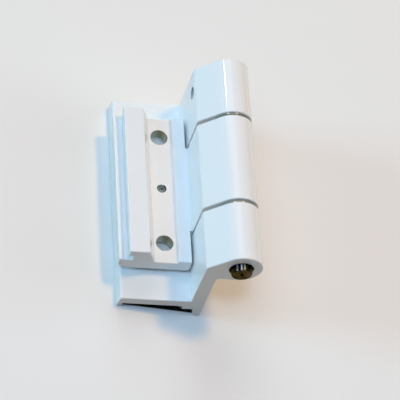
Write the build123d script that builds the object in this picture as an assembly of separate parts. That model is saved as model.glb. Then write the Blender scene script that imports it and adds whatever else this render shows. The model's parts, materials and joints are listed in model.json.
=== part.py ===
from build123d import *
import math
import os

# A window hinge of two extruded leaves that turn on a steel pin. X runs across the hinge, from the
# free edge of the plates towards the barrel, Y runs along the pin and Z stands square on the window
# frame. The origin is midway between the frame leaf's screw holes, on the underside of its plate.

# Lengths along the pin
hinge_length = 112.5
outer_knuckle_length = 30.9
knuckle_gap = 1.9
sash_plate_length = 82.0

# Pin axis and barrel
pin_x = 30.5
pin_z = 38.5
barrel_radius = 10.25
bore_radius = 5.85

# Frame leaf: plate with a recess below, a foot at its free edge and a pad beside the arm
plate_thickness = 5.0
foot_depth = 2.5
foot_reach = 21.9
foot_width = 3.0
foot_flare = 1.2
foot_round = 1.3
pad_start = 10.2
pad_ramp = 2.1

# Frame leaf: heel that hooks over the edge of the window frame
heel_face = 15.8
heel_depth = 8.4
heel_taper = 0.7
heel_round = 1.3

# Arm that both leaves share in outline
arm_right = 20.35
arm_thickness = 7.0
arm_lean = 1.0
arm_bend_height = 37.5
arm_bend_round = 2.0
arm_inner_round = 2.2

# Sash leaf: plate with a lip and groove, a hooked rib, a flat for the screws and a raised strip
leaf_gap = 2.9
sash_flat = 14.2
sash_reach = 22.7
sash_corner_round = 4.2
lip_top = 15.6
lip_width = 1.5
groove_floor = 15.0
rib_top = 23.15
rib_left = 18.6
rib_right = 9.05
hook_left = 19.0
hook_bottom = 19.1
hook_neck = 16.6
rib_flare = 3.8
strip_start = 5.5
strip_ramp = 0.9
strip_top = 16.0
sash_edge_gap = 0.8
sash_edge_lean = 0.1
sash_edge_round = 2.0
arm_foot_round = 1.2

# Rounding of the extruded corners and of the sawn ends
corner_round = 0.5
end_break = 0.3

# Screw holes
screw_spacing = 60.0
sash_hole_radius = 4.28
frame_hole_radius = 1.8

# Hinge pin, which stands out of the near knuckle
pin_radius = 5.0
pin_clearance = 0.05
pin_proud = 3.0
pin_front_round = 0.6
centre_hole_radius = 0.95
centre_hole_depth = 1.6
pin_end_recess = 1.0
pin_end_chamfer = 0.8

# Sleeves, bushes and washers round the pin
sleeve_recess = 2.0
sleeve_fit = 0.02
bush_length = 16.0
bush_flange_radius = 9.2
bush_flange = 1.05
washer_radius = 9.4
washer_thickness = 0.75

# Grub screw that locks the pin in the far knuckle
lock_radius = 3.0
lock_length = 11.0
lock_socket = 3.0
lock_from_end = 10.5
lock_drop = 22.0
lock_groove_depth = 0.6
lock_groove_side = 0.4

# Grub screw between the sash leaf's screw holes
sash_grub_y = 0.6
sash_grub_radius = 2.3
sash_grub_length = 4.8
sash_grub_socket = 2.4
sash_grub_recess = 0.7

# Shape of the grub screws
thread_gap = 0.03
screw_chamfer = 0.4
socket_depth = 2.2


def arm_right_at(height):
    """X of the leaning arm's outer face at a height above the plate's underside."""
    return arm_right + height * math.tan(math.radians(arm_lean))


def arm_left_at(height):
    """X of the arm's inner face at a height."""
    return arm_right_at(height) - arm_thickness


# Places that follow from the sizes above
near_end = -hinge_length / 2
far_end = hinge_length / 2
near_face = near_end + outer_knuckle_length
far_face = far_end - outer_knuckle_length
middle_near = near_face + knuckle_gap
middle_far = far_face - knuckle_gap
sash_bottom = plate_thickness + leaf_gap
sash_edge = arm_left_at(sash_bottom) - sash_edge_gap
pin_axis = Axis((pin_x, 0, pin_z), (0, 1, 0))
lock_y = far_end - lock_from_end


def section(corners):
    """A closed cross-section in X and Z from corners given as (x, z, rounding radius)."""
    points = [(x, z) for x, z, _ in corners]
    radii = [radius for _, _, radius in corners]
    return make_face(FilletPolyline(*points, radius=radii, close=True))


def extruded(profile, start, end):
    """The cross-section drawn out along the pin from one place in Y to another."""
    plane = Plane(origin=(0, end, 0), x_dir=(1, 0, 0), z_dir=(0, -1, 0))
    return extrude(plane * profile, end - start)


def turned(outline):
    """A turned piece: corners given as (radius, place along the pin), spun about the pin axis."""
    plane = Plane(origin=(pin_x, 0, pin_z), x_dir=(1, 0, 0), z_dir=(0, 0, 1))
    return revolve(plane * make_face(Polyline(*outline, close=True)), pin_axis)


def ring(inner, outer, start, end):
    """A plain sleeve or washer round the pin."""
    return turned([(inner, start), (outer, start), (outer, end), (inner, end)])


def drill(x, y, radius, low, high):
    """The cutter for an upright hole from one height to another."""
    return Pos(x, y, (low + high) / 2) * Cylinder(radius, high - low)


def knuckle_section(arm_foot):
    """Arm and barrel in one outline, from the foot of the arm up: a straight back that runs into the
    barrel as a tangent, and a level underside that leaves the barrel at its lowest point."""
    bend_x = arm_left_at(arm_bend_height)
    run = pin_x - bend_x
    rise = pin_z - arm_bend_height
    reach = math.hypot(run, rise)
    slope = math.atan2(rise, run) + math.asin(barrel_radius / reach)
    tangent_x = pin_x - barrel_radius * math.sin(slope)
    tangent_z = pin_z + barrel_radius * math.cos(slope)
    underside = pin_z - barrel_radius
    web = section([
        (arm_left_at(arm_foot), arm_foot, 0),
        (arm_right_at(arm_foot), arm_foot, 0),
        (arm_right_at(underside), underside, arm_inner_round),
        (pin_x, underside, 0),
        (pin_x, pin_z, 0),
        (tangent_x, tangent_z, 0),
        (bend_x, arm_bend_height, arm_bend_round),
    ])
    return web + Pos(pin_x, pin_z) * Circle(barrel_radius) - Pos(pin_x, pin_z) * Circle(bore_radius)


def frame_plate_section():
    """The frame leaf's plate: foot, recess, pad and the heel under the arm."""
    return section([
        (-foot_reach, -foot_depth, corner_round),
        (-foot_reach + foot_width, -foot_depth, 0),
        (-foot_reach + foot_width, 0, corner_round),
        (pad_start - pad_ramp, 0, 0),
        (pad_start, -foot_depth, 0),
        (heel_face, -foot_depth, corner_round),
        (heel_face + heel_taper, -heel_depth, heel_round),
        (arm_right_at(-heel_depth), -heel_depth, corner_round),
        (arm_right_at(plate_thickness), plate_thickness, 0),
        (-foot_reach + foot_flare, plate_thickness, foot_round),
    ])


def sash_plate_section():
    """The sash leaf's plate: rounded free edge, lip and groove, hooked rib, screw flat and strip."""
    return section([
        (-sash_reach, sash_bottom, sash_corner_round),
        (sash_edge, sash_bottom, sash_edge_round),
        (sash_edge - sash_edge_lean, strip_top, corner_round),
        (strip_start + strip_ramp, strip_top, 0),
        (strip_start, sash_flat, 0),
        (-rib_right + rib_flare, sash_flat, corner_round),
        (-rib_right, rib_top, corner_round),
        (-rib_left, rib_top, corner_round),
        (-hook_left, hook_bottom, corner_round),
        (-hook_neck, hook_bottom, corner_round),
        (-hook_neck, groove_floor, corner_round),
        (-sash_reach + lip_width, groove_floor, 0),
        (-sash_reach + lip_width, lip_top, 0),
        (-sash_reach, lip_top, corner_round),
    ])


def sash_strip_section():
    """The raised strip and the plate below it, where they run on into the sash leaf's own arm."""
    return section([
        (strip_start, sash_bottom, 0),
        (arm_right_at(sash_bottom), sash_bottom, 0),
        (arm_right_at(strip_top), strip_top, 0),
        (strip_start + strip_ramp, strip_top, 0),
        (strip_start, sash_flat, 0),
    ])


def arm_foot_section():
    """The rounded inner corner between the raised strip and the sash leaf's arm."""
    rise = strip_top + 2 * arm_foot_round
    middle = arm_left_at(strip_top) + arm_thickness / 2
    return section([
        (strip_start + strip_ramp, sash_flat, 0),
        (middle, sash_flat, 0),
        (middle, rise, 0),
        (arm_left_at(rise), rise, 0),
        (arm_left_at(strip_top), strip_top, arm_foot_round),
        (strip_start + strip_ramp, strip_top, 0),
    ])


def lock_place():
    """Frame of the lock screw: origin on the pin axis, Z out along the screw to its socket."""
    down = math.radians(lock_drop)
    return Plane(origin=(pin_x, lock_y, pin_z), x_dir=(0, 1, 0), z_dir=(-math.cos(down), 0, -math.sin(down)))


def lock_mouth():
    """Distance along the lock screw from the pin axis to the arm's inner face."""
    return (pin_x - arm_left_at(pin_z)) / math.cos(math.radians(lock_drop))


def grub_screw(radius, length, socket_width):
    """A hexagon socket grub screw that stands on its point at the origin, socket up."""
    body = Pos(0, 0, length / 2) * Cylinder(radius, length)
    body = chamfer(body.edges().filter_by(GeomType.CIRCLE), screw_chamfer)
    socket = RegularPolygon(socket_width / 2, 6, major_radius=False)
    return body - Pos(0, 0, length - socket_depth) * extrude(socket, socket_depth)


def end_edges(leaf, place, lowest=-heel_depth - end_break):
    """The outline of the leaf's sawn face at a place along the pin, but for the edges below a height."""
    faces = leaf.faces().filter_by(Axis.Y).filter_by(lambda face: abs(face.center().Y - place) < end_break)
    edges = [edge for face in faces for edge in face.outer_wire().edges()]
    return [edge for edge in edges if edge.center().Z > lowest]


def make_frame_leaf():
    """The plate over its whole length, and the two outer knuckles on their arms."""
    leaf = extruded(frame_plate_section(), near_end, far_end)
    knuckle = knuckle_section(0)
    leaf = leaf + extruded(knuckle, near_end, near_face) + extruded(knuckle, far_face, far_end)
    for place in (near_end, far_end):
        leaf = chamfer(end_edges(leaf, place), end_break)
    for place in (near_face, far_face):
        leaf = chamfer(end_edges(leaf, place, plate_thickness + end_break), end_break)
    for y in (-screw_spacing / 2, screw_spacing / 2):
        leaf = leaf - drill(0, y, frame_hole_radius, 0, plate_thickness)
    lock_hole = extrude(lock_place() * Circle(lock_radius), lock_mouth() + lock_radius)
    return leaf - lock_hole


def make_sash_leaf():
    """The plate, and the middle knuckle on its arm."""
    leaf = extruded(sash_plate_section(), -sash_plate_length / 2, sash_plate_length / 2)
    leaf = leaf + extruded(sash_strip_section(), middle_near, middle_far)
    leaf = leaf + extruded(knuckle_section(sash_bottom), middle_near, middle_far)
    for place in (-sash_plate_length / 2, sash_plate_length / 2):
        leaf = chamfer(end_edges(leaf, place), end_break)
    for place in (middle_near, middle_far):
        leaf = chamfer(end_edges(leaf, place, strip_top), end_break)
    leaf = leaf + extruded(arm_foot_section(), middle_near + end_break, middle_far - end_break)
    for y in (-screw_spacing / 2, screw_spacing / 2):
        leaf = leaf - drill(0, y, sash_hole_radius, sash_bottom, sash_flat)
    return leaf - drill(0, sash_grub_y, sash_grub_radius, sash_bottom, sash_flat)


def make_hinge_pin():
    """The turned pin: rounded front edge, centre hole, and a groove for the lock screw near its far end."""
    front = near_end - pin_proud
    tip = far_end - pin_end_recess
    groove = lock_radius + lock_groove_side
    shaft = turned([
        (0, front),
        (pin_radius, front),
        (pin_radius, lock_y - groove),
        (pin_radius - lock_groove_depth, lock_y - groove + lock_groove_depth),
        (pin_radius - lock_groove_depth, lock_y + groove - lock_groove_depth),
        (pin_radius, lock_y + groove),
        (pin_radius, tip - pin_end_chamfer),
        (pin_radius - pin_end_chamfer, tip),
        (0, tip),
    ])
    rim = shaft.edges().filter_by(GeomType.CIRCLE).sort_by(Axis.Y)[0]
    shaft = fillet(rim, pin_front_round)
    centre_hole = turned([
        (0, front),
        (centre_hole_radius, front),
        (0, front + centre_hole_depth),
    ])
    return shaft - centre_hole


def make_pin_sleeves():
    """The two sleeves that carry the pin in the outer knuckles; the far one is drilled for the lock screw."""
    inner = pin_radius + pin_clearance
    outer = bore_radius - sleeve_fit
    near = ring(inner, outer, near_end + sleeve_recess, near_face)
    far = ring(inner, outer, far_face, far_end - pin_end_recess)
    far = far - extrude(lock_place() * Circle(lock_radius), bore_radius)
    return near, far


def make_sash_bushes():
    """The two flanged bushes of the middle knuckle, each with its flange in the knuckle gap."""
    inner = pin_radius + pin_clearance
    outer = bore_radius - sleeve_fit
    bushes = []
    for face, outwards in ((middle_near, -1), (middle_far, 1)):
        bushes.append(turned([
            (inner, face + outwards * bush_flange),
            (bush_flange_radius, face + outwards * bush_flange),
            (bush_flange_radius, face),
            (outer, face),
            (outer, face - outwards * bush_length),
            (inner, face - outwards * bush_length),
        ]))
    return bushes


def make_thrust_washers():
    """The two washers between the bush flanges and the outer knuckles, centred in the room left."""
    room = knuckle_gap - bush_flange
    play = (room - washer_thickness) / 2
    inner = pin_radius + pin_clearance
    near = ring(inner, washer_radius, near_face + play, near_face + play + washer_thickness)
    far = ring(inner, washer_radius, far_face - play - washer_thickness, far_face - play)
    return near, far


def make_pin_lock_screw():
    """The grub screw in the far knuckle, its point in the pin's groove."""
    screw = grub_screw(lock_radius - thread_gap, lock_length, lock_socket)
    return lock_place() * Pos(0, 0, pin_radius - lock_groove_depth) * screw


def make_sash_grub_screw():
    """The grub screw between the sash leaf's screw holes, sunk a little below the flat."""
    screw = grub_screw(sash_grub_radius - thread_gap, sash_grub_length, sash_grub_socket)
    return Pos(0, sash_grub_y, sash_flat - sash_grub_recess - sash_grub_length) * screw


near_pin_sleeve, far_pin_sleeve = make_pin_sleeves()
near_sash_bush, far_sash_bush = make_sash_bushes()
near_thrust_washer, far_thrust_washer = make_thrust_washers()

pieces = {
    "frame_leaf": make_frame_leaf(),
    "sash_leaf": make_sash_leaf(),
    "hinge_pin": make_hinge_pin(),
    "near_pin_sleeve": near_pin_sleeve,
    "far_pin_sleeve": far_pin_sleeve,
    "near_sash_bush": near_sash_bush,
    "far_sash_bush": far_sash_bush,
    "near_thrust_washer": near_thrust_washer,
    "far_thrust_washer": far_thrust_washer,
    "pin_lock_screw": make_pin_lock_screw(),
    "sash_grub_screw": make_sash_grub_screw(),
}

os.makedirs("parts", exist_ok=True)
for name, piece in pieces.items():
    export_step(piece, f"parts/{name}.step")
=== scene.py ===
import json
import math
import bpy
import numpy as np
from mathutils import Matrix, Vector


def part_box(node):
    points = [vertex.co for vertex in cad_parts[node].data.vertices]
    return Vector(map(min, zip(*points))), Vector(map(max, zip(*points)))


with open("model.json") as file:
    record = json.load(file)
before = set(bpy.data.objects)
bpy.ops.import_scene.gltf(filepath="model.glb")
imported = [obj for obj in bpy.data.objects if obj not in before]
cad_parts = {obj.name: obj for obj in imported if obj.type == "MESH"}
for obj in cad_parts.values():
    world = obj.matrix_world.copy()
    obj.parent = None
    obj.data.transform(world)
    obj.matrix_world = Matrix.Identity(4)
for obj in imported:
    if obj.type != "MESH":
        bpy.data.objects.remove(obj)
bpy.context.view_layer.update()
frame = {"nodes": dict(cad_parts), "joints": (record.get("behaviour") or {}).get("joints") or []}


# Frame leaf: the aluminium extrusion that is screwed to the window frame, sawn to length and then
# powder-coated white. The coat is baked on as one even skin, a little wavy like orange peel, with a soft
# gloss. The holes and the bore are drilled through it and show bare metal. The recess below is painted
# dark metal as painted shade, and the wall of the lock screw's hole is painted bluish grey as painted shade.

MM = 0.001


def add_node(nodes, kind, **settings):
    """One shader node of a kind, with its properties set."""
    node = nodes.new(kind)
    for name, value in settings.items():
        setattr(node, name, value)
    return node


def new_group(name, inputs, outputs):
    """An empty shader node group with named sockets, and its two end nodes."""
    group = bpy.data.node_groups.new(name, "ShaderNodeTree")
    for label, kind, value in inputs:
        socket = group.interface.new_socket(label, in_out="INPUT", socket_type=kind)
        socket.default_value = value
    for label, kind in outputs:
        group.interface.new_socket(label, in_out="OUTPUT", socket_type=kind)
    start = group.nodes.new("NodeGroupInput")
    end = group.nodes.new("NodeGroupOutput")
    return group, start, end


def orange_peel_group():
    """Height of a baked powder coat: a slow swell plus a fine ripple, each a noise of its own size."""
    group, start, end = new_group(
        "orange_peel",
        [("Swell Scale", "NodeSocketFloat", 350.0), ("Ripple Scale", "NodeSocketFloat", 1400.0),
         ("Ripple Share", "NodeSocketFloat", 0.35)],
        [("Height", "NodeSocketFloat")],
    )
    nodes, links = group.nodes, group.links
    place = add_node(nodes, "ShaderNodeTexCoord")
    swell = add_node(nodes, "ShaderNodeTexNoise")
    ripple = add_node(nodes, "ShaderNodeTexNoise")
    swell.inputs["Detail"].default_value = 2.0
    ripple.inputs["Detail"].default_value = 3.0
    mix = add_node(nodes, "ShaderNodeMix", data_type="FLOAT")
    links.new(place.outputs["Object"], swell.inputs["Vector"])
    links.new(place.outputs["Object"], ripple.inputs["Vector"])
    links.new(start.outputs["Swell Scale"], swell.inputs["Scale"])
    links.new(start.outputs["Ripple Scale"], ripple.inputs["Scale"])
    links.new(start.outputs["Ripple Share"], mix.inputs["Factor"])
    links.new(swell.outputs["Fac"], mix.inputs["A"])
    links.new(ripple.outputs["Fac"], mix.inputs["B"])
    links.new(mix.outputs["Result"], end.inputs["Height"])
    return group


def tint_group():
    """A colour that drifts between two shades over the surface: a noise, stretched about its middle by the
    contrast, picks the shade."""
    group, start, end = new_group(
        "tint",
        [("Light", "NodeSocketColor", (1, 1, 1, 1)), ("Dark", "NodeSocketColor", (0.5, 0.5, 0.5, 1)),
         ("Scale", "NodeSocketFloat", 60.0), ("Contrast", "NodeSocketFloat", 1.0)],
        [("Color", "NodeSocketColor")],
    )
    nodes, links = group.nodes, group.links
    place = add_node(nodes, "ShaderNodeTexCoord")
    noise = add_node(nodes, "ShaderNodeTexNoise")
    noise.inputs["Detail"].default_value = 4.0
    middle = add_node(nodes, "ShaderNodeMath", operation="SUBTRACT")
    middle.inputs[1].default_value = 0.5
    stretch = add_node(nodes, "ShaderNodeMath", operation="MULTIPLY_ADD", use_clamp=True)
    stretch.inputs[2].default_value = 0.5
    mix = add_node(nodes, "ShaderNodeMix", data_type="RGBA")
    links.new(place.outputs["Object"], noise.inputs["Vector"])
    links.new(start.outputs["Scale"], noise.inputs["Scale"])
    links.new(noise.outputs["Fac"], middle.inputs[0])
    links.new(middle.outputs[0], stretch.inputs[0])
    links.new(start.outputs["Contrast"], stretch.inputs[1])
    links.new(stretch.outputs[0], mix.inputs["Factor"])
    links.new(start.outputs["Light"], mix.inputs["A"])
    links.new(start.outputs["Dark"], mix.inputs["B"])
    links.new(mix.outputs["Result"], end.inputs["Color"])
    return group


def drilled_hole_group():
    """One inside a round hole, and nought elsewhere. The hole starts at its mouth and runs on without end:
    inside it, the way from the mouth has a positive part along the axis and a cross product with it that
    is shorter than the radius."""
    group, start, end = new_group(
        "drilled_hole",
        [("Mouth", "NodeSocketVector", (0.0, 0.0, 0.0)), ("Axis", "NodeSocketVector", (0.0, 0.0, 1.0)),
         ("Radius", "NodeSocketFloat", 0.005)],
        [("Mask", "NodeSocketFloat")],
    )
    nodes, links = group.nodes, group.links
    place = add_node(nodes, "ShaderNodeTexCoord")
    way = add_node(nodes, "ShaderNodeVectorMath", operation="SUBTRACT")
    depth = add_node(nodes, "ShaderNodeVectorMath", operation="DOT_PRODUCT")
    across = add_node(nodes, "ShaderNodeVectorMath", operation="CROSS_PRODUCT")
    length = add_node(nodes, "ShaderNodeVectorMath", operation="LENGTH")
    past_mouth = add_node(nodes, "ShaderNodeMath", operation="GREATER_THAN")
    past_mouth.inputs[1].default_value = 0.0
    within = add_node(nodes, "ShaderNodeMath", operation="LESS_THAN")
    both = add_node(nodes, "ShaderNodeMath", operation="MULTIPLY")
    links.new(place.outputs["Object"], way.inputs[0])
    links.new(start.outputs["Mouth"], way.inputs[1])
    for product in (depth, across):
        links.new(way.outputs["Vector"], product.inputs[0])
        links.new(start.outputs["Axis"], product.inputs[1])
    links.new(across.outputs["Vector"], length.inputs[0])
    links.new(length.outputs["Value"], within.inputs[0])
    links.new(start.outputs["Radius"], within.inputs[1])
    links.new(depth.outputs["Value"], past_mouth.inputs[0])
    links.new(past_mouth.outputs[0], both.inputs[0])
    links.new(within.outputs[0], both.inputs[1])
    links.new(both.outputs[0], end.inputs["Mask"])
    return group


def block_group():
    """One where X, Y and Z all lie between the corners of a block, and nought elsewhere."""
    group, start, end = new_group(
        "block",
        [("Low", "NodeSocketVector", (0.0, 0.0, 0.0)), ("High", "NodeSocketVector", (0.0, 0.0, 0.0))],
        [("Mask", "NodeSocketFloat")],
    )
    nodes, links = group.nodes, group.links
    place = add_node(nodes, "ShaderNodeTexCoord")
    split = add_node(nodes, "ShaderNodeSeparateXYZ")
    links.new(place.outputs["Object"], split.inputs["Vector"])
    inside = None
    for corner, test in (("Low", "GREATER_THAN"), ("High", "LESS_THAN")):
        bound = add_node(nodes, "ShaderNodeSeparateXYZ")
        links.new(start.outputs[corner], bound.inputs["Vector"])
        for axis in ("X", "Y", "Z"):
            side = add_node(nodes, "ShaderNodeMath", operation=test)
            links.new(split.outputs[axis], side.inputs[0])
            links.new(bound.outputs[axis], side.inputs[1])
            if inside is None:
                inside = side
                continue
            both = add_node(nodes, "ShaderNodeMath", operation="MULTIPLY")
            links.new(inside.outputs[0], both.inputs[0])
            links.new(side.outputs[0], both.inputs[1])
            inside = both
    links.new(inside.outputs[0], end.inputs["Mask"])
    return group


orange_peel = orange_peel_group()
tint = tint_group()
drilled_hole = drilled_hole_group()
block = block_group()


def new_material(name):
    """A material with only its Principled shader, and that shader."""
    material = bpy.data.materials.new(name)
    material.use_nodes = True
    return material, material.node_tree.nodes["Principled BSDF"]


def place_group(material, group, **values):
    """A node group placed in a material, with its inputs set by name."""
    node = material.node_tree.nodes.new("ShaderNodeGroup")
    node.node_tree = group
    for label, value in values.items():
        node.inputs[label.replace("_", " ")].default_value = value
    return node


def powder_coat(name, light, dark):
    """White powder coat: near-even colour, satin gloss, and the orange peel as a fine bump."""
    material, shader = new_material(name)
    links = material.node_tree.links
    colour = place_group(material, tint, Light=light, Dark=dark, Scale=45.0)
    peel = place_group(material, orange_peel, Swell_Scale=420.0, Ripple_Scale=1500.0, Ripple_Share=0.3)
    bump = add_node(material.node_tree.nodes, "ShaderNodeBump")
    bump.inputs["Strength"].default_value = 0.15
    bump.inputs["Distance"].default_value = 0.02 * MM
    shader.inputs["Roughness"].default_value = 0.08
    shader.inputs["IOR"].default_value = 1.5
    links.new(colour.outputs["Color"], shader.inputs["Base Color"])
    links.new(peel.outputs["Height"], bump.inputs["Height"])
    links.new(bump.outputs["Normal"], shader.inputs["Normal"])
    return material


def either_mask(material, masks):
    """The larger of several masks."""
    joined = masks[0]
    for mask in masks[1:]:
        larger = add_node(material.node_tree.nodes, "ShaderNodeMath", operation="MAXIMUM")
        material.node_tree.links.new(joined, larger.inputs[0])
        material.node_tree.links.new(mask, larger.inputs[1])
        joined = larger.outputs[0]
    return joined


def lay_over(material, mask, tone):
    """Lays a tone over the base colour where a mask is one."""
    shader = material.node_tree.nodes["Principled BSDF"]
    links = material.node_tree.links
    colour = add_node(material.node_tree.nodes, "ShaderNodeMix", data_type="RGBA")
    colour.inputs["B"].default_value = tone
    links.new(shader.inputs["Base Color"].links[0].from_socket, colour.inputs["A"])
    links.new(mask, colour.inputs["Factor"])
    links.new(colour.outputs["Result"], shader.inputs["Base Color"])


def bare_metal(material, mask, tone, roughness):
    """Shows bare metal in place of the coat where a mask is one."""
    lay_over(material, mask, tone)
    shader = material.node_tree.nodes["Principled BSDF"]
    links = material.node_tree.links
    polish = add_node(material.node_tree.nodes, "ShaderNodeMix", data_type="FLOAT")
    polish.inputs["A"].default_value = shader.inputs["Roughness"].default_value
    polish.inputs["B"].default_value = roughness
    links.new(mask, polish.inputs["Factor"])
    links.new(polish.outputs["Result"], shader.inputs["Roughness"])
    links.new(mask, shader.inputs["Metallic"])


def dress(node, material):
    """Gives a node of the frame its finish."""
    slots = frame["nodes"][node].material_slots
    for slot in slots:
        slot.material = material


def holes_mask(material, holes):
    """The walls of holes, each given by its mouth, axis and radius."""
    masks = []
    for mouth, axis, radius in holes:
        hole = place_group(material, drilled_hole, Mouth=mouth, Axis=axis, Radius=radius)
        masks.append(hole.outputs["Mask"])
    return either_mask(material, masks)


def screw_holes(radius):
    """The two screw holes of a leaf, as mouth, axis and radius."""
    return [(Vector((0, side * half_screw_spacing, below)), upward, radius) for side in (-1, 1)]


upward, along_pin = Vector((0, 0, 1)), Vector((0, 1, 0))
below = -20 * MM
before_near_end, past_far_end = -60 * MM, 60 * MM
half_screw_spacing = 30 * MM
pin_place = Vector(frame["joints"][0]["pos_m"])
bore_radius = 5.92 * MM
pin_bore = (Vector((pin_place.x, before_near_end, pin_place.z)), along_pin, bore_radius)
lock_hole_along = 45.75 * MM
lock_hole_drop = math.radians(22)
lock_hole_radius = 3.05 * MM
lock_hole = (
    Vector((pin_place.x, lock_hole_along, pin_place.z)),
    Vector((-math.cos(lock_hole_drop), 0, -math.sin(lock_hole_drop))),
    lock_hole_radius,
)
frame_hole_radius = 1.86 * MM
recess_low = Vector((-18.95 * MM, before_near_end, -2.45 * MM))
recess_high = Vector((10.25 * MM, past_far_end, 0.05 * MM))

frame_coat = powder_coat("frame_coat", (0.875, 0.88, 0.885, 1), (0.85, 0.855, 0.865, 1))
frame_holes = screw_holes(frame_hole_radius)
# The recess is painted dark bare metal: painted shade.
recess_shade = place_group(frame_coat, block, Low=recess_low, High=recess_high)
frame_bare_and_shade = either_mask(
    frame_coat, [holes_mask(frame_coat, frame_holes + [pin_bore]), recess_shade.outputs["Mask"]])
bare_metal(frame_coat, frame_bare_and_shade, (0.10, 0.105, 0.10, 1), 0.5)
# The lock screw's hole wall is painted bluish grey: painted shade.
lay_over(frame_coat, holes_mask(frame_coat, [lock_hole]), (0.45, 0.48, 0.56, 1))
dress("frame_leaf", frame_coat)


# Sash leaf: the second extrusion, from the same aluminium and coated in the same batch. It carries the
# middle knuckle, and its hooked rib slides into the groove of the sash. Its screw holes are drilled
# through the coat, so that their walls are bare, and a run of coat has stayed in the small threaded one.

sash_hole_radius = 4.33 * MM
tapped_hole_along = 0.6 * MM
tapped_hole_radius = 2.35 * MM
tapped_hole = (Vector((0, tapped_hole_along, below)), upward, tapped_hole_radius)
coat_run_low = Vector((-1.5, 1.5, 13.3)) * MM
coat_run_high = Vector((1.3, 3.0, 14.3)) * MM

sash_coat = powder_coat("sash_coat", (0.88, 0.88, 0.885, 1), (0.855, 0.858, 0.865, 1))
sash_holes = screw_holes(sash_hole_radius)
coat_run = place_group(sash_coat, block, Low=coat_run_low, High=coat_run_high)
bare_thread = add_node(sash_coat.node_tree.nodes, "ShaderNodeMath", operation="SUBTRACT", use_clamp=True)
sash_coat.node_tree.links.new(holes_mask(sash_coat, [tapped_hole]), bare_thread.inputs[0])
sash_coat.node_tree.links.new(coat_run.outputs["Mask"], bare_thread.inputs[1])
sash_bare = either_mask(
    sash_coat, [holes_mask(sash_coat, sash_holes + [pin_bore]), bare_thread.outputs[0]])
bare_metal(sash_coat, sash_bare, (0.60, 0.64, 0.48, 1), 0.35)
lay_over(sash_coat, bare_thread.outputs[0], (0.07, 0.08, 0.08, 1))
dress("sash_leaf", sash_coat)


# Hinge pin: drawn steel rod, blacked and oiled, with a blotched skin. Bright lines along its side are
# painted highlights, and the brown and olive patches at the sides of its faced end are painted reflections.
# The lathe left fine rings round the centre hole.

def turned_rings_group():
    """Height of lathe marks: a fine saw of rings whose radius is measured from the pin's axis."""
    group, start, end = new_group(
        "turned_rings",
        [("Centre X", "NodeSocketFloat", 0.0), ("Centre Z", "NodeSocketFloat", 0.0),
         ("Rings per Metre", "NodeSocketFloat", 3000.0)],
        [("Height", "NodeSocketFloat")],
    )
    nodes, links = group.nodes, group.links
    place = add_node(nodes, "ShaderNodeTexCoord")
    split = add_node(nodes, "ShaderNodeSeparateXYZ")
    across = add_node(nodes, "ShaderNodeMath", operation="SUBTRACT")
    rise = add_node(nodes, "ShaderNodeMath", operation="SUBTRACT")
    join = add_node(nodes, "ShaderNodeCombineXYZ")
    length = add_node(nodes, "ShaderNodeVectorMath", operation="LENGTH")
    count = add_node(nodes, "ShaderNodeMath", operation="MULTIPLY")
    wave = add_node(nodes, "ShaderNodeMath", operation="PINGPONG")
    wave.inputs[1].default_value = 1.0
    links.new(place.outputs["Object"], split.inputs["Vector"])
    links.new(split.outputs["X"], across.inputs[0])
    links.new(start.outputs["Centre X"], across.inputs[1])
    links.new(split.outputs["Z"], rise.inputs[0])
    links.new(start.outputs["Centre Z"], rise.inputs[1])
    links.new(across.outputs[0], join.inputs["X"])
    links.new(rise.outputs[0], join.inputs["Z"])
    links.new(join.outputs["Vector"], length.inputs[0])
    links.new(length.outputs["Value"], count.inputs[0])
    links.new(start.outputs["Rings per Metre"], count.inputs[1])
    links.new(count.outputs[0], wave.inputs[0])
    links.new(wave.outputs[0], end.inputs["Height"])
    return group


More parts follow.
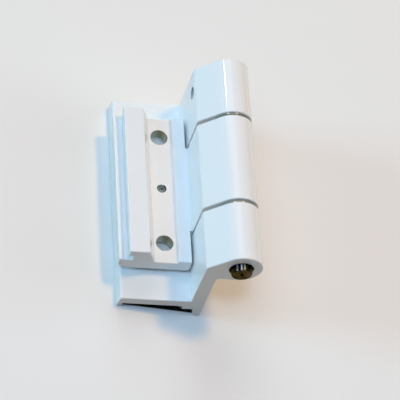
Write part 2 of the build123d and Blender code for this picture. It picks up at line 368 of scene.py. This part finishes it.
def glint_line_group():
    """A painted highlight line along the round side of a turned piece: one at an angle round the pin's axis,
    falling to nought half a width to either side, and only past a radius."""
    group, start, end = new_group(
        "glint_line",
        [("Centre X", "NodeSocketFloat", 0.0), ("Centre Z", "NodeSocketFloat", 0.0),
         ("Least Radius", "NodeSocketFloat", 0.004), ("Angle", "NodeSocketFloat", 0.0),
         ("Half Width", "NodeSocketFloat", 0.1)],
        [("Mask", "NodeSocketFloat")],
    )
    nodes, links = group.nodes, group.links
    place = add_node(nodes, "ShaderNodeTexCoord")
    split = add_node(nodes, "ShaderNodeSeparateXYZ")
    across = add_node(nodes, "ShaderNodeMath", operation="SUBTRACT")
    rise = add_node(nodes, "ShaderNodeMath", operation="SUBTRACT")
    join = add_node(nodes, "ShaderNodeCombineXYZ")
    length = add_node(nodes, "ShaderNodeVectorMath", operation="LENGTH")
    outside = add_node(nodes, "ShaderNodeMath", operation="GREATER_THAN")
    turn = add_node(nodes, "ShaderNodeMath", operation="ARCTAN2")
    off = add_node(nodes, "ShaderNodeMath", operation="SUBTRACT")
    either = add_node(nodes, "ShaderNodeMath", operation="ABSOLUTE")
    share = add_node(nodes, "ShaderNodeMath", operation="DIVIDE")
    fall = add_node(nodes, "ShaderNodeMath", operation="SUBTRACT", use_clamp=True)
    fall.inputs[0].default_value = 1.0
    both = add_node(nodes, "ShaderNodeMath", operation="MULTIPLY")
    links.new(place.outputs["Object"], split.inputs["Vector"])
    links.new(split.outputs["X"], across.inputs[0])
    links.new(start.outputs["Centre X"], across.inputs[1])
    links.new(split.outputs["Z"], rise.inputs[0])
    links.new(start.outputs["Centre Z"], rise.inputs[1])
    links.new(across.outputs[0], join.inputs["X"])
    links.new(rise.outputs[0], join.inputs["Z"])
    links.new(join.outputs["Vector"], length.inputs[0])
    links.new(length.outputs["Value"], outside.inputs[0])
    links.new(start.outputs["Least Radius"], outside.inputs[1])
    links.new(across.outputs[0], turn.inputs[0])
    links.new(rise.outputs[0], turn.inputs[1])
    links.new(turn.outputs[0], off.inputs[0])
    links.new(start.outputs["Angle"], off.inputs[1])
    links.new(off.outputs[0], either.inputs[0])
    links.new(either.outputs[0], share.inputs[0])
    links.new(start.outputs["Half Width"], share.inputs[1])
    links.new(share.outputs[0], fall.inputs[1])
    links.new(fall.outputs[0], both.inputs[0])
    links.new(outside.outputs[0], both.inputs[1])
    links.new(both.outputs[0], end.inputs["Mask"])
    return group


def reflection_patch_group():
    """A painted reflection: one at the middle of a patch, falling to nought at its radius, with an edge that
    a noise makes uneven."""
    group, start, end = new_group(
        "reflection_patch",
        [("Middle", "NodeSocketVector", (0.0, 0.0, 0.0)), ("Radius", "NodeSocketFloat", 0.002)],
        [("Mask", "NodeSocketFloat")],
    )
    nodes, links = group.nodes, group.links
    place = add_node(nodes, "ShaderNodeTexCoord")
    way = add_node(nodes, "ShaderNodeVectorMath", operation="SUBTRACT")
    length = add_node(nodes, "ShaderNodeVectorMath", operation="LENGTH")
    share = add_node(nodes, "ShaderNodeMath", operation="DIVIDE")
    noise = add_node(nodes, "ShaderNodeTexNoise")
    noise.inputs["Scale"].default_value = 1100.0
    uneven = add_node(nodes, "ShaderNodeMath", operation="ADD")
    fall = add_node(nodes, "ShaderNodeMath", operation="SUBTRACT", use_clamp=True)
    fall.inputs[0].default_value = 1.5
    links.new(place.outputs["Object"], way.inputs[0])
    links.new(start.outputs["Middle"], way.inputs[1])
    links.new(way.outputs["Vector"], length.inputs[0])
    links.new(length.outputs["Value"], share.inputs[0])
    links.new(start.outputs["Radius"], share.inputs[1])
    links.new(place.outputs["Object"], noise.inputs["Vector"])
    links.new(share.outputs[0], uneven.inputs[0])
    links.new(noise.outputs["Fac"], uneven.inputs[1])
    links.new(uneven.outputs[0], fall.inputs[1])
    links.new(fall.outputs[0], end.inputs["Mask"])
    return group


turned_rings = turned_rings_group()
glint_line = glint_line_group()
reflection_patch = reflection_patch_group()


def turned_steel(name, light, dark, roughness, contrast=1.0):
    """Turned steel: a patchy tone, and lathe rings as a fine bump."""
    material, shader = new_material(name)
    links = material.node_tree.links
    colour = place_group(material, tint, Light=light, Dark=dark, Scale=700.0, Contrast=contrast)
    rings = place_group(
        material, turned_rings, Centre_X=pin_place.x, Centre_Z=pin_place.z, Rings_per_Metre=4200.0)
    bump = add_node(material.node_tree.nodes, "ShaderNodeBump")
    bump.inputs["Strength"].default_value = 0.3
    bump.inputs["Distance"].default_value = 0.02 * MM
    shader.inputs["Metallic"].default_value = 1.0
    shader.inputs["Roughness"].default_value = roughness
    links.new(colour.outputs["Color"], shader.inputs["Base Color"])
    links.new(rings.outputs["Height"], bump.inputs["Height"])
    links.new(bump.outputs["Normal"], shader.inputs["Normal"])
    return material


def paint_glint_line(material, least_radius, angle, half_width, tone):
    """Lays a painted highlight line of a tone over a material, at an angle in degrees, and gives its mask.
    """
    line = place_group(
        material, glint_line, Centre_X=pin_place.x, Centre_Z=pin_place.z, Least_Radius=least_radius,
        Angle=math.radians(angle), Half_Width=math.radians(half_width))
    lay_over(material, line.outputs["Mask"], tone)
    return line.outputs["Mask"]


pin_near_end = -59.25 * MM
pin_round_side = 4.5 * MM
# Painted reflections on the pin's faced end: brown at its right, dark olive at its left and low in the
# middle.
end_reflections = (  # across and up from the pin's axis and radius, all in mm, then tone
    (3.6, 0.7, 3.4, (0.125, 0.07, 0.05, 1)),
    (-4.3, 0.5, 3.0, (0.055, 0.04, 0.012, 1)),
    (-1.8, -0.4, 1.8, (0.065, 0.04, 0.01, 1)),
)
# Painted highlights along the pin's side; the metal gives way to them.
pin_glints = (  # angle and half width in degrees, then tone
    (-37, 8, (0.26, 0.24, 0.32, 1)),
    (-13, 7, (0.72, 0.70, 0.76, 1)),
    (4, 9, (0.40, 0.38, 0.26, 1)),
)

pin_steel = turned_steel("pin_steel", (0.045, 0.036, 0.014, 1), (0.001, 0.001, 0.0, 1), 0.2, contrast=7.0)
pin_shader = pin_steel.node_tree.nodes["Principled BSDF"]
pin_shader.inputs["Specular Tint"].default_value = (0.8, 0.72, 0.55, 1)
for across, up_by, radius, tone in end_reflections:
    patch_place = Vector((pin_place.x + across * MM, pin_near_end, pin_place.z + up_by * MM))
    patch = place_group(pin_steel, reflection_patch, Middle=patch_place, Radius=radius * MM)
    lay_over(pin_steel, patch.outputs["Mask"], tone)
glint_masks = [paint_glint_line(pin_steel, pin_round_side, *pin_glint) for pin_glint in pin_glints]
skin = add_node(pin_steel.node_tree.nodes, "ShaderNodeMath", operation="SUBTRACT", use_clamp=True)
skin.inputs[0].default_value = 1.0
pin_steel.node_tree.links.new(either_mask(pin_steel, glint_masks), skin.inputs[1])
pin_steel.node_tree.links.new(skin.outputs[0], pin_shader.inputs["Metallic"])
dress("hinge_pin", pin_steel)


# Pin sleeves: short steel tubes, turned and pressed into the bores of the outer knuckles. They carry the
# pin, so that it does not wear the aluminium.

for end_name in ("near", "far"):
    sleeve_steel = turned_steel(end_name + "_sleeve_steel", (0.3, 0.3, 0.29, 1), (0.16, 0.16, 0.15, 1), 0.4)
    dress(end_name + "_pin_sleeve", sleeve_steel)


# Thrust washers: punched from sheet steel, one in each knuckle gap. The rim is dulled by grease, and two
# painted glints lie on it in each.

washer_rim = 9.2 * MM
glint_half_width = 5
for washer in ("near_thrust_washer", "far_thrust_washer"):
    washer_steel = turned_steel(washer + "_steel", (0.36, 0.385, 0.345, 1), (0.28, 0.305, 0.27, 1), 0.4)
    washer_steel.node_tree.nodes["Principled BSDF"].inputs["Metallic"].default_value = 0.5
    # Two painted glints on the rim.
    for glint_angle in (-20, 5.5):
        paint_glint_line(washer_steel, washer_rim, glint_angle, glint_half_width, (1.0, 1.0, 0.95, 1))
    dress(washer, washer_steel)


# Sash bushes: moulded of olive-grey acetal, each with a flange that bears on a thrust washer. They line the
# bore of the middle knuckle, so that it turns without a squeak.

def moulded_plastic(name, light, dark):
    """Matt moulded plastic with a faint spark-eroded grain."""
    material, shader = new_material(name)
    links = material.node_tree.links
    colour = place_group(material, tint, Light=light, Dark=dark, Scale=500.0)
    grain = place_group(material, orange_peel, Swell_Scale=2500.0, Ripple_Scale=6000.0, Ripple_Share=0.5)
    bump = add_node(material.node_tree.nodes, "ShaderNodeBump")
    bump.inputs["Strength"].default_value = 0.3
    bump.inputs["Distance"].default_value = 0.01 * MM
    shader.inputs["Roughness"].default_value = 0.5
    links.new(colour.outputs["Color"], shader.inputs["Base Color"])
    links.new(grain.outputs["Height"], bump.inputs["Height"])
    links.new(bump.outputs["Normal"], shader.inputs["Normal"])
    return material


for bush in ("near_sash_bush", "far_sash_bush"):
    dress(bush, moulded_plastic(bush + "_plastic", (0.27, 0.285, 0.24, 1), (0.21, 0.225, 0.185, 1)))


# Grub screws: socket screws of hardened steel with a dull grey zinc skin. The socket of the one in the sash
# leaf is painted pale, as painted light against the shade inside it.

def zinc_steel(name, light, dark):
    """Dull zinc plate: a mottled grey metal with a faint grain."""
    material, shader = new_material(name)
    links = material.node_tree.links
    colour = place_group(material, tint, Light=light, Dark=dark, Scale=900.0)
    grain = place_group(material, orange_peel, Swell_Scale=1800.0, Ripple_Scale=5000.0, Ripple_Share=0.5)
    bump = add_node(material.node_tree.nodes, "ShaderNodeBump")
    bump.inputs["Strength"].default_value = 0.4
    bump.inputs["Distance"].default_value = 0.02 * MM
    shader.inputs["Metallic"].default_value = 0.3
    shader.inputs["Roughness"].default_value = 0.6
    links.new(colour.outputs["Color"], shader.inputs["Base Color"])
    links.new(grain.outputs["Height"], bump.inputs["Height"])
    links.new(bump.outputs["Normal"], shader.inputs["Normal"])
    return material


lock_screw_zinc = zinc_steel("lock_screw_zinc", (0.34, 0.39, 0.38, 1), (0.2, 0.23, 0.22, 1))
grub_screw_zinc = zinc_steel("grub_screw_zinc", (0.26, 0.30, 0.29, 1), (0.15, 0.175, 0.17, 1))
socket_radius = 1.22 * MM
lit_socket = (Vector((0, tapped_hole_along, below)), upward, socket_radius)
# The socket is painted pale: painted light.
lay_over(grub_screw_zinc, holes_mask(grub_screw_zinc, [lit_socket]), (0.62, 0.68, 0.67, 1))
dress("pin_lock_screw", lock_screw_zinc)
dress("sash_grub_screw", grub_screw_zinc)


# Table: a pale sheet through the low edges of the plate's foot and of the deeper heel, so that it leans in
# the hinge's own frame. It is seen almost white, while the light that it throws back is warmer and dimmer.
# Under the leaf it is painted black, as painted shade, so that the recess under the plate looks black.

foot_bottom = -2.5 * MM
heel_middle = 19.3 * MM
foot_low = Vector((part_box("frame_leaf")[0][0], 0, foot_bottom))
heel_low = Vector((heel_middle, 0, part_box("frame_leaf")[0][2]))
table_lean = math.atan2(foot_low.z - heel_low.z, heel_low.x - foot_low.x)
table_along = Vector((math.cos(table_lean), 0, -math.sin(table_lean)))


def table_sheet(reach):
    """A square sheet in the plane through foot and heel: corners at plus and minus reach along both ways."""
    middle = (foot_low + heel_low) / 2
    corners = []
    for along, deep in ((-1, -1), (1, -1), (1, 1), (-1, 1)):
        corners.append(middle + table_along * along * reach + Vector((0, deep * reach, 0)))
    mesh = bpy.data.meshes.new("table")
    mesh.from_pydata([tuple(corner) for corner in corners], [], [(0, 1, 2, 3)])
    table = bpy.data.objects.new("table", mesh)
    bpy.context.scene.collection.objects.link(table)
    return table


table_reach = 3.0
bounce_tone, seen_tone, black = (0.56, 0.49, 0.39, 1), (0.83, 0.82, 0.81, 1), (0.02, 0.02, 0.02, 1)
shade_under_leaf_low = Vector((-19.5, -55, -20)) * MM
shade_under_leaf_high = Vector((18, 55, 20)) * MM

table = table_sheet(table_reach)
table_paint, table_shader = new_material("table_paint")
table_shader.inputs["Roughness"].default_value = 0.75
table_nodes, table_links = table_paint.node_tree.nodes, table_paint.node_tree.links
ray = add_node(table_nodes, "ShaderNodeLightPath")
plain_ray = add_node(table_nodes, "ShaderNodeMath", operation="MAXIMUM")
seen_ray = add_node(table_nodes, "ShaderNodeMath", operation="MAXIMUM")
shade = add_node(table_nodes, "ShaderNodeMix", data_type="RGBA")
shade.inputs["A"].default_value = bounce_tone
shade.inputs["B"].default_value = seen_tone
table_links.new(ray.outputs["Is Camera Ray"], plain_ray.inputs[0])
table_links.new(ray.outputs["Is Glossy Ray"], plain_ray.inputs[1])
table_links.new(plain_ray.outputs[0], seen_ray.inputs[0])
table_links.new(ray.outputs["Is Transmission Ray"], seen_ray.inputs[1])
table_links.new(seen_ray.outputs[0], shade.inputs["Factor"])
table_links.new(shade.outputs["Result"], table_shader.inputs["Base Color"])
# The table under the leaf is painted black: painted shade.
painted_shade_under_leaf = place_group(table_paint, block, Low=shade_under_leaf_low, High=shade_under_leaf_high)
lay_over(table_paint, painted_shade_under_leaf.outputs["Mask"], black)
table.data.materials.append(table_paint)


# Camera: fitted to the edges of the hinge in the photograph. It stands at the near left and high up, has a
# long lens, and is rolled.

camera_azimuth = math.radians(-21.92)
camera_elevation = math.radians(56.29)
camera_roll = math.radians(22.13)
camera_place = Vector((-217.4, -591.39, 962.35)) * MM


def camera_turn(azimuth, elevation, roll):
    """Rotation whose columns are right, up and back: back from azimuth and elevation, then rolled."""
    back = Vector((
        math.sin(azimuth) * math.cos(elevation),
        -math.cos(azimuth) * math.cos(elevation),
        math.sin(elevation),
    ))
    level = Vector((math.cos(azimuth), math.sin(azimuth), 0))
    rise = back.cross(level)
    right = level * math.cos(roll) + rise * math.sin(roll)
    up = back.cross(right)
    return Matrix((right, up, back)).transposed()


camera_data = bpy.data.cameras.new("camera")
camera_data.lens = 211.12
camera_data.sensor_width = 36.0
camera_data.clip_start = 0.05
camera = bpy.data.objects.new("camera", camera_data)
turn = camera_turn(camera_azimuth, camera_elevation, camera_roll)
camera.matrix_world = Matrix.Translation(camera_place) @ turn.to_4x4()
bpy.context.scene.collection.objects.link(camera)
bpy.context.scene.camera = camera


# Light: a soft studio. Broad lamps stand low on both sides, behind and high on the left, most of them bluish
# like windows. A compact warm lamp high on the right and a cool one high in front throw the crisp shadows.
# A broad one high behind lightens the top of the barrel, and a tiny one draws the line on the far knuckle.

lamp_distance = 5.0


def lamp(name, azimuth, elevation, size, colour, power):
    """A square area lamp that looks at the hinge from an azimuth and elevation in degrees."""
    data = bpy.data.lights.new(name, "AREA")
    data.shape = "SQUARE"
    data.size = size
    data.color = colour
    data.energy = power
    light = bpy.data.objects.new(name, data)
    light_turn = camera_turn(math.radians(azimuth), math.radians(elevation), 0.0)
    back = light_turn.col[2]
    light.matrix_world = Matrix.Translation(back * lamp_distance) @ light_turn.to_4x4()
    bpy.context.scene.collection.objects.link(light)


lamp("rear_lamp", 180, 30, 2.4, (0.76, 1.0, 0.96), 72.8)
lamp("window_lamp", 270, 30, 1.4, (0.35, 0.74, 1.0), 81.6)
lamp("low_window_lamp", 270, 12, 2.4, (0.48, 0.83, 1.0), 65.6)
lamp("high_left_lamp", 300, 70, 2.4, (0.54, 0.77, 1.0), 59.2)
lamp("high_front_lamp", 340, 72, 0.7, (0.53, 0.71, 1.0), 47.2)
lamp("warm_lamp", 118, 68, 0.7, (1.0, 0.56, 0.14), 84.0)
lamp("right_lamp", 90, 35, 2.4, (1.0, 0.73, 0.91), 34.4)
lamp("low_right_lamp", 90, 12, 2.4, (0.54, 0.98, 1.0), 49.6)
lamp("high_rear_lamp", 190, 55, 2.4, (1.0, 0.80, 0.93), 24.8)
lamp("highlight_lamp", 215.0, 46.8, 0.12, (1.0, 0.97, 1.0), 4.0)

world = bpy.data.worlds.new("studio")
world.use_nodes = True
world.node_tree.nodes["Background"].inputs["Color"].default_value = (0.8, 0.82, 0.85, 1)
world.node_tree.nodes["Background"].inputs["Strength"].default_value = 0.01
bpy.context.scene.world = world
bpy.context.scene.view_settings.view_transform = "Standard"
